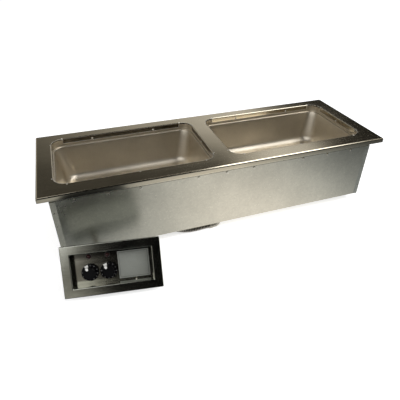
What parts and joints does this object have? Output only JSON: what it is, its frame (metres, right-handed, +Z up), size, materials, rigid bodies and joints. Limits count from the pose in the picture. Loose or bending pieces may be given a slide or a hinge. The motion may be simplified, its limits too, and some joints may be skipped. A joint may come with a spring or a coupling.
{
  "type": "drop-in food well",
  "caption": "Drop-in hot food well: drawn stainless pans under one top plate in a galvanised housing, with a remote control box on a flexible metal conduit.",
  "frame": {"origin": "middle of the top plate in plan, on the counter's top surface, which is the underside of the plate's turned-down edge", "axes": "+X along the plate towards the end away from the control box, +Y from the operator's side to the far side, +Z up"},
  "size_m": [1.178, 0.5966, 0.2816],
  "materials": {
    "brushed_stainless": "satin",
    "drawn_stainless": "satin",
    "galvanised_sheet": "satin",
    "zinc_plated_steel": "satin",
    "element_sheath": "matte",
    "conduit_strip": "satin",
    "cast_zinc": "matte",
    "fibre_batt": "matte",
    "black_plastic": "gloss",
    "switch_plastic": "matte",
    "red_lens": "gloss",
    "silver_label": "satin"
  },
  "bodies": {
    "housing": {"top_plate": "brushed_stainless", "control_bezel": "brushed_stainless", "control_plate": "brushed_stainless", "well_pan_left": "drawn_stainless", "well_pan_right": "drawn_stainless", "rail_front": "galvanised_sheet", "rail_back": "galvanised_sheet", "rail_left": "galvanised_sheet", "rail_right": "galvanised_sheet", "housing_front": "galvanised_sheet", "housing_back": "galvanised_sheet", "housing_end_left": "galvanised_sheet", "housing_end_right": "galvanised_sheet", "housing_bottom": "galvanised_sheet", "element_tray_left": "galvanised_sheet", "element_tray_right": "galvanised_sheet", "control_box": "galvanised_sheet", "seam_screw_1": "zinc_plated_steel", "seam_screw_2": "zinc_plated_steel", "seam_screw_3": "zinc_plated_steel", "seam_screw_4": "zinc_plated_steel", "seam_screw_5": "zinc_plated_steel", "seam_screw_6": "zinc_plated_steel", "seam_screw_7": "zinc_plated_steel", "seam_screw_8": "zinc_plated_steel", "seam_screw_9": "zinc_plated_steel", "elbow_locknut": "zinc_plated_steel", "connector_locknut": "zinc_plated_steel", "heating_element_left": "element_sheath", "heating_element_right": "element_sheath", "flexible_conduit": "conduit_strip", "conduit_elbow": "cast_zinc", "box_connector": "cast_zinc", "insulation_front": "fibre_batt", "insulation_back": "fibre_batt", "insulation_left": "fibre_batt", "insulation_right": "fibre_batt", "insulation_middle": "fibre_batt", "insulation_under": "fibre_batt", "heat_switch_left": "switch_plastic", "heat_switch_right": "switch_plastic", "terminal_block": "switch_plastic", "lamp_body_left": "switch_plastic", "lamp_body_right": "switch_plastic", "lamp_lens_left": "red_lens", "lamp_lens_right": "red_lens", "label_plate": "silver_label"},
    "knob_left": {"knob_left": "black_plastic", "switch_shaft_left": "zinc_plated_steel"},
    "knob_right": {"knob_right": "black_plastic", "switch_shaft_right": "zinc_plated_steel"}
  },
  "joints": [
    {"name": "knob_left_turn", "type": "hinge", "parent": "housing", "child": "knob_left", "pos_m": [-0.48491, -0.30486, -0.2031], "axis": [0.1365, 0.8622, -0.4879], "range_deg": [0, 300]},
    {"name": "knob_right_turn", "type": "hinge", "parent": "housing", "child": "knob_right", "pos_m": [-0.43158, -0.3133, -0.2031], "axis": [0.1365, 0.8622, -0.4879], "range_deg": [0, 300]}
  ]
}
